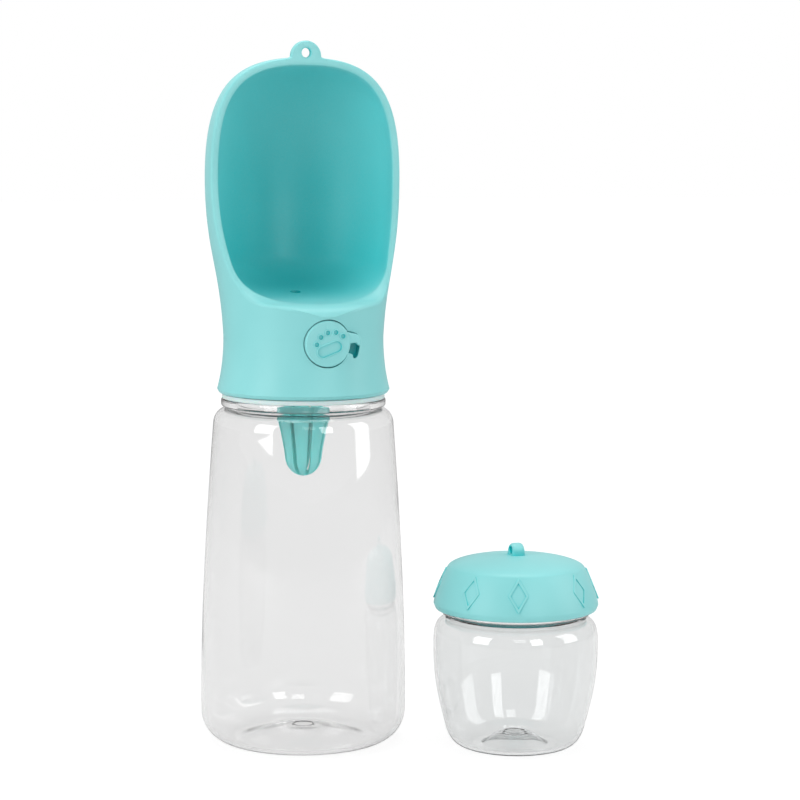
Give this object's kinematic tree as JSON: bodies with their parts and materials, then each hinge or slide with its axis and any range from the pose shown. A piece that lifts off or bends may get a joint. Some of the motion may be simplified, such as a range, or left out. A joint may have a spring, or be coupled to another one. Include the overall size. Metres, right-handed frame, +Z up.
{
  "type": "dog travel water bottle",
  "caption": "Pet travel water bottle with a scoop-shaped drinking head, press button valve and strainer, and a lidded food jar.",
  "frame": {"origin": "centre of the bottle's foot, on the surface that it stands on", "axes": "+Z up along the bottle's axis, -Y the side of the press button and the trough's opening, +X the side of the food jar"},
  "size_m": [0.1437, 0.1071, 0.2669],
  "materials": {
    "clear_plastic": "clear moulded plastic, polished",
    "teal_plastic": "pale teal moulded plastic, satin",
    "strainer_plastic": "teal moulded plastic, slightly translucent",
    "silicone": "milky silicone rubber",
    "steel": "stainless steel, drawn and turned"
  },
  "bodies": {
    "bottle": {"bottle": "clear_plastic", "ring_washer": "silicone"},
    "neck_ring": {"neck_gasket": "silicone"},
    "head": {"head_shell": "teal_plastic", "valve_housing": "teal_plastic", "housing_end_cap": "teal_plastic", "end_cap_seal": "silicone", "housing_screws": "steel", "housing_o_ring": "silicone", "outlet_seal": "silicone", "stem_o_ring": "silicone", "strainer_o_ring": "silicone", "return_spring": "steel", "spring_washer": "steel"},
    "strainer": {"strainer": "strainer_plastic"},
    "stem": {"valve_stem": "teal_plastic", "valve_plug": "silicone"},
    "button": {"button": "teal_plastic"},
    "jar": {"jar": "clear_plastic"},
    "lid_ring": {"jar_seal": "silicone"},
    "jar_lid": {"jar_lid": "teal_plastic"}
  },
  "joints": [
    {"name": "head_rise", "type": "slide", "parent": "bottle", "child": "neck_ring", "axis": [0, 0, 1], "range_m": [0, 0.0032]},
    {"name": "head_turn", "type": "hinge", "parent": "neck_ring", "child": "head", "pos_m": [0, 0, 0.1423], "axis": [0, 0, 1], "range_deg": [0, 360]},
    {"name": "strainer_pull", "type": "slide", "parent": "head", "child": "strainer", "axis": [0, 0, -1], "range_m": [0, 0.008]},
    {"name": "button_press", "type": "slide", "parent": "head", "child": "stem", "axis": [0, 1, 0], "range_m": [0, 0.003], "stiffness_N_per_m": 400, "springref_m": -0.002, "deforming": ["return_spring"]},
    {"name": "button_lock", "type": "hinge", "parent": "stem", "child": "button", "pos_m": [0, -0.031, 0.1552], "axis": [0, 1, 0], "range_deg": [0, 22]},
    {"name": "jar_lift", "type": "slide", "parent": "bottle", "child": "jar", "axis": [0, 0, 1], "range_m": [0, 0.12]},
    {"name": "lid_rise", "type": "slide", "parent": "jar", "child": "lid_ring", "axis": [0, 0, 1], "range_m": [0, 0.0032]},
    {"name": "lid_turn", "type": "hinge", "parent": "lid_ring", "child": "jar_lid", "pos_m": [0.0732, -0.0366, 0.0626], "axis": [0, 0, 1], "range_deg": [0, 360]}
  ],
  "couplings": [
    {"joint": "head_rise", "follows": "head_turn", "m_per_rad": 0.0005093},
    {"joint": "lid_rise", "follows": "lid_turn", "m_per_rad": 0.0005093}
  ]
}
